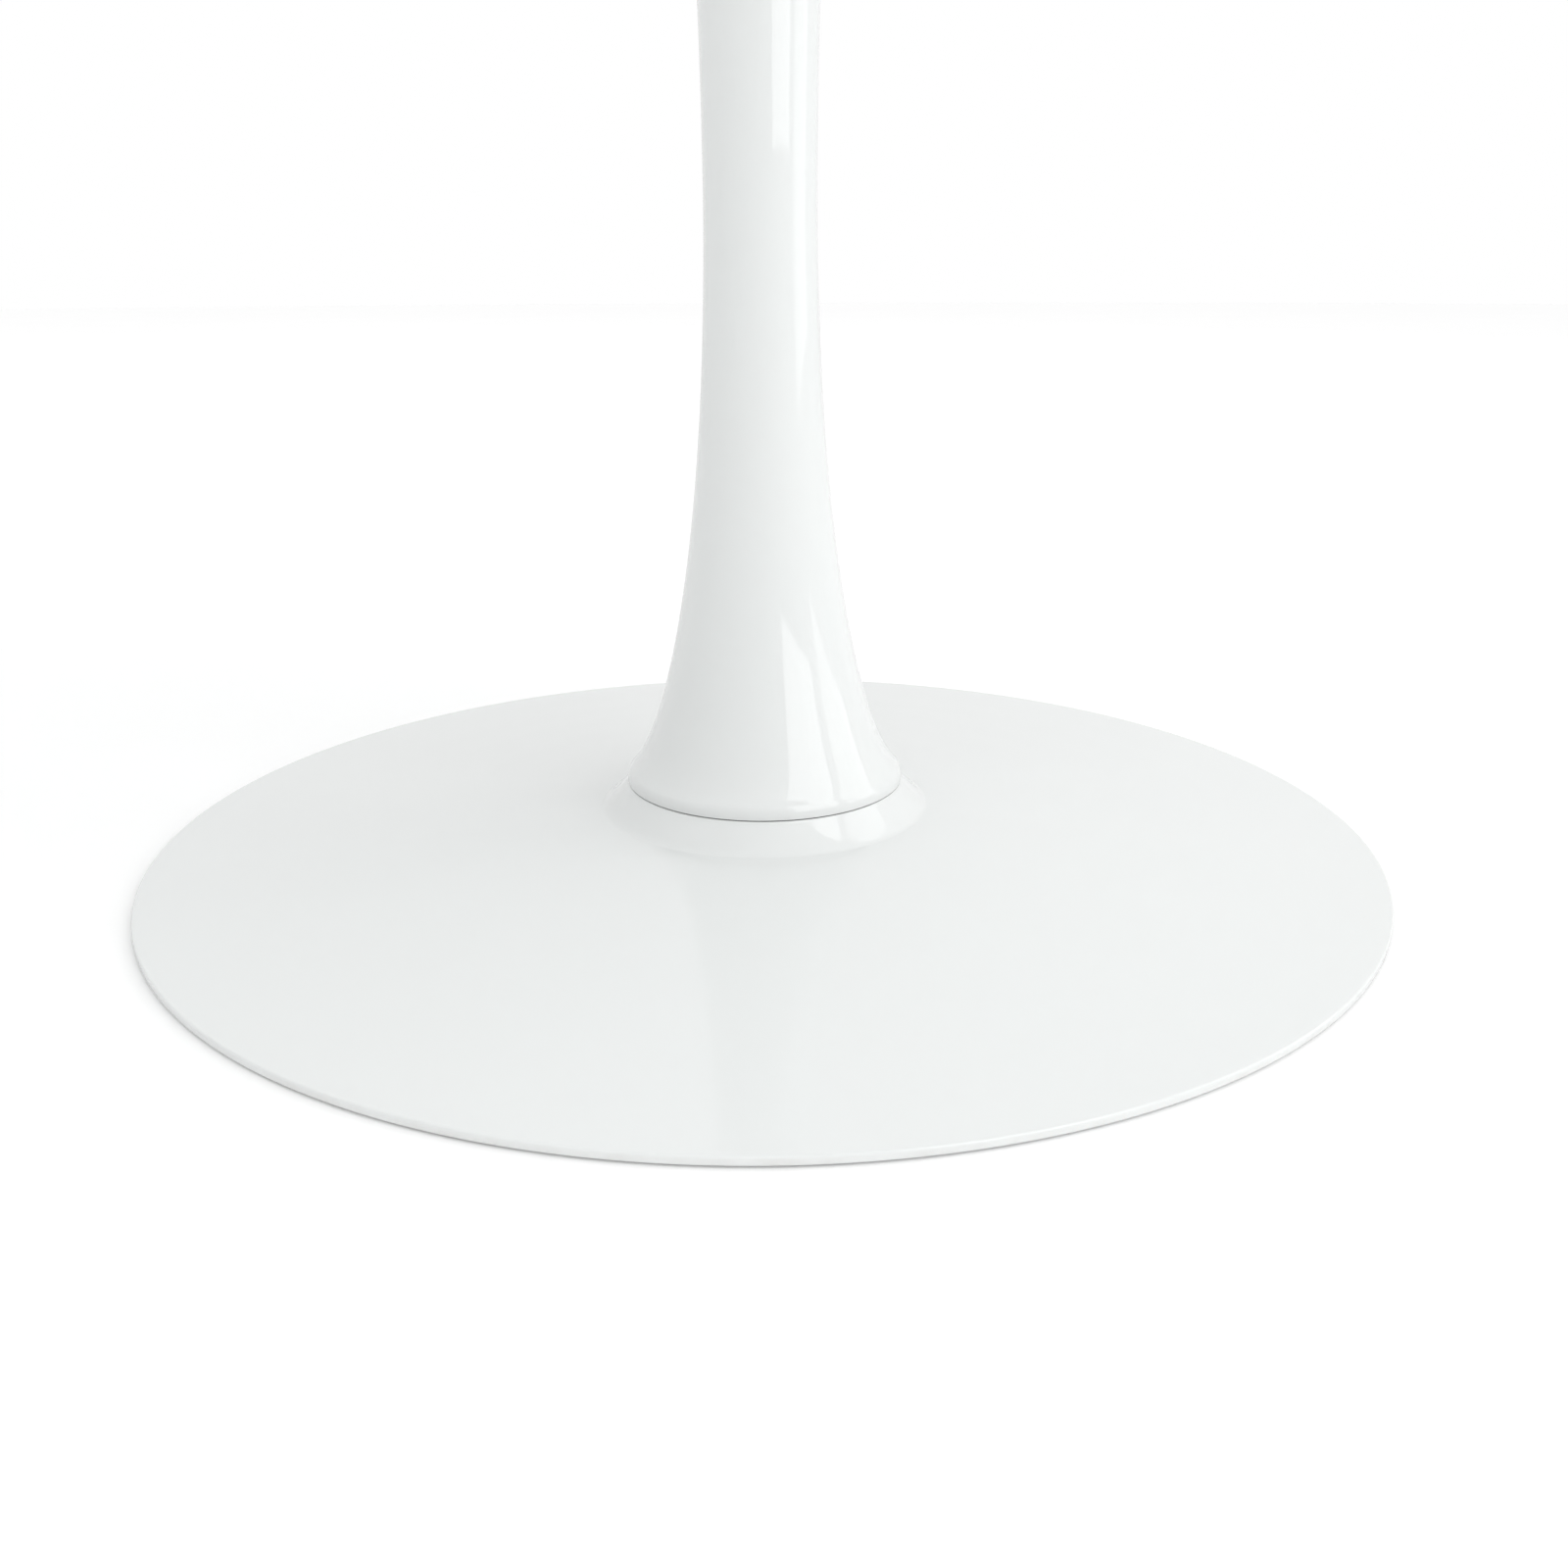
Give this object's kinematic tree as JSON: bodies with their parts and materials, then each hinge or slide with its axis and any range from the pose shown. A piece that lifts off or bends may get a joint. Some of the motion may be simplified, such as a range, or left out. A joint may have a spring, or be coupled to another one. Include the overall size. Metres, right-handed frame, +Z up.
{
  "type": "round pedestal table",
  "caption": "Round pedestal table: thin lacquered top on a trumpet-shaped column that flares into a thin round base disc, all gloss white.",
  "frame": {"origin": "on the floor, under the middle of the table", "axes": "+Z up along the column's axis; the table is round, so X and Y have no preferred side, and the first floor pad lies on +X"},
  "size_m": [1.05, 1.05, 0.74],
  "materials": {
    "white_lacquer": "gloss powder coat over spun steel",
    "top_lacquer": "gloss lacquered fibreboard",
    "zinc_steel": "bright zinc plate",
    "black_casting": "rough casting, matte black primer",
    "black_rubber": "matte",
    "insert_brass": "machined",
    "pad_felt": "pressed felt"
  },
  "bodies": {
    "root": {"base_shell": "white_lacquer", "column": "white_lacquer", "mounting_plate": "white_lacquer", "tabletop": "top_lacquer", "column_foot_disc": "zinc_steel", "column_head_disc": "zinc_steel", "tie_rod": "zinc_steel", "tie_rod_captive_nut": "zinc_steel", "tie_rod_washer": "zinc_steel", "tie_rod_spring_washer": "zinc_steel", "tie_rod_nut": "zinc_steel", "base_stud_1": "zinc_steel", "base_stud_2": "zinc_steel", "base_stud_3": "zinc_steel", "base_stud_4": "zinc_steel", "base_stud_nut_1": "zinc_steel", "base_stud_nut_2": "zinc_steel", "base_stud_nut_3": "zinc_steel", "base_stud_nut_4": "zinc_steel", "top_screw_1": "zinc_steel", "top_screw_2": "zinc_steel", "top_screw_3": "zinc_steel", "top_screw_4": "zinc_steel", "top_screw_5": "zinc_steel", "top_screw_6": "zinc_steel", "ballast_casting": "black_casting", "foot_gasket": "black_rubber", "head_gasket": "black_rubber", "threaded_insert_1": "insert_brass", "threaded_insert_2": "insert_brass", "threaded_insert_3": "insert_brass", "threaded_insert_4": "insert_brass", "threaded_insert_5": "insert_brass", "threaded_insert_6": "insert_brass", "floor_pad_1": "pad_felt", "floor_pad_2": "pad_felt", "floor_pad_3": "pad_felt", "floor_pad_4": "pad_felt", "floor_pad_5": "pad_felt", "floor_pad_6": "pad_felt", "floor_pad_7": "pad_felt", "floor_pad_8": "pad_felt"}
  },
  "joints": []
}
